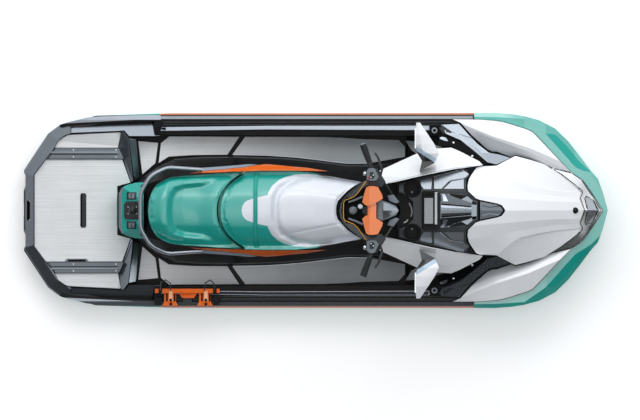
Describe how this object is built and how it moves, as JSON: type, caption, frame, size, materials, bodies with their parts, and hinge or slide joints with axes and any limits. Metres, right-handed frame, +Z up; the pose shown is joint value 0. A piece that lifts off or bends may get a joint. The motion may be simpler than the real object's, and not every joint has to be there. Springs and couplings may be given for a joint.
{
  "type": "personal watercraft",
  "caption": "Sit-down personal watercraft with a jet drive, long rear deck, two-part seat, handlebar and hinged front hood.",
  "frame": {"origin": "at the waterline, on the centreline, at half the craft's length", "axes": "+X forward to the bow, +Y to port, +Z up"},
  "size_m": [3.58, 1.194, 1.14],
  "materials": {
    "gelcoat_teal": "gloss",
    "gelcoat_white": "gloss",
    "deck_black": "moulded",
    "trim_grey": "moulded",
    "panel_grey": "satin",
    "frame_grey": "moulded",
    "block_grey": "moulded",
    "mat_foam": "grooved foam",
    "silver_strip": "satin",
    "bumper_rubber": "satin",
    "seat_teal": "vinyl",
    "seat_white": "vinyl",
    "strap_webbing": "woven",
    "gloss_black": "gloss",
    "clear_lens": "clear",
    "screen_glass": "gloss",
    "orange_paint": "gloss",
    "pad_orange": "satin",
    "grip_rubber": "ribbed",
    "bare_aluminium": "cast",
    "stainless": "polished",
    "mirror_face": "mirror",
    "rail_coating": "powder coat",
    "engine_casting": "cast",
    "steel_wire": "coated"
  },
  "bodies": {
    "craft": {"hull": "gelcoat_teal", "engine": "engine_casting", "deck": "deck_black", "side_bumpers": "bumper_rubber", "bow_bumper": "gelcoat_teal", "rear_deck_frame": "frame_grey", "side_blocks": "block_grey", "rear_deck_mats": "mat_foam", "rear_deck_rails": "trim_grey", "footwell_mats": "mat_foam", "gunwale_strips": "silver_strip", "seat_base": "deck_black", "rear_seat": "seat_teal", "front_seat": "seat_white", "seat_strap": "strap_webbing", "grab_rail": "rail_coating", "tail_cover": "gelcoat_teal", "tow_mount": "rail_coating", "console_core": "deck_black", "side_cowls": "gelcoat_white", "fenders": "gelcoat_white", "inner_panels": "panel_grey", "support_arms": "gloss_black", "storage_bin": "deck_black", "hood_duct": "deck_black", "nose_panel": "gloss_black", "nose_lens": "clear_lens", "dash": "trim_grey", "cup_holders": "deck_black", "dash_panels": "panel_grey", "meter": "screen_glass", "console_lid": "trim_grey", "steering_neck": "deck_black", "mirrors": "gelcoat_white", "mirror_glass": "mirror_face", "side_bracket": "orange_paint", "bracket_base": "deck_black", "bracket_wires": "steel_wire", "jet_pump": "bare_aluminium", "ride_plate": "bare_aluminium", "intake_grate": "bare_aluminium", "sponsons": "bumper_rubber"},
    "handlebar": {"handlebar": "rail_coating", "handlebar_pad": "pad_orange", "grips": "grip_rubber", "switch_housings": "deck_black", "levers": "rail_coating", "steering_cover": "trim_grey"},
    "hood": {"hood": "gelcoat_white"},
    "impeller": {"impeller": "stainless"},
    "nozzle": {"steering_nozzle": "bare_aluminium"},
    "bucket": {"reverse_bucket": "bare_aluminium"},
    "step": {"boarding_step": "stainless"}
  },
  "joints": [
    {"name": "steering", "type": "hinge", "parent": "craft", "child": "handlebar", "pos_m": [0.372, 0, 0.64], "axis": [-0.4067, 0, 0.9135], "range_deg": [-22, 22]},
    {"name": "nozzle_swing", "type": "hinge", "parent": "craft", "child": "nozzle", "pos_m": [-1.67, 0, -0.168], "axis": [0, 0, 1], "range_deg": [-20, 20]},
    {"name": "bucket_swing", "type": "hinge", "parent": "craft", "child": "bucket", "pos_m": [-1.67, 0, -0.168], "axis": [0, -1, 0], "range_deg": [0, 75]},
    {"name": "impeller_spin", "type": "hinge", "parent": "craft", "child": "impeller", "pos_m": [-1.516, 0, -0.168], "axis": [1, 0, 0], "continuous": true},
    {"name": "hood_hinge", "type": "hinge", "parent": "craft", "child": "hood", "pos_m": [1.64, 0, 0.398], "axis": [0, 1, 0], "range_deg": [0, 55]},
    {"name": "step_hinge", "type": "hinge", "parent": "craft", "child": "step", "pos_m": [-1.766, 0, 0.07], "axis": [0, 1, 0], "range_deg": [0, 90]}
  ],
  "couplings": [
    {"joint": "nozzle_swing", "follows": "steering", "ratio": -0.9}
  ]
}
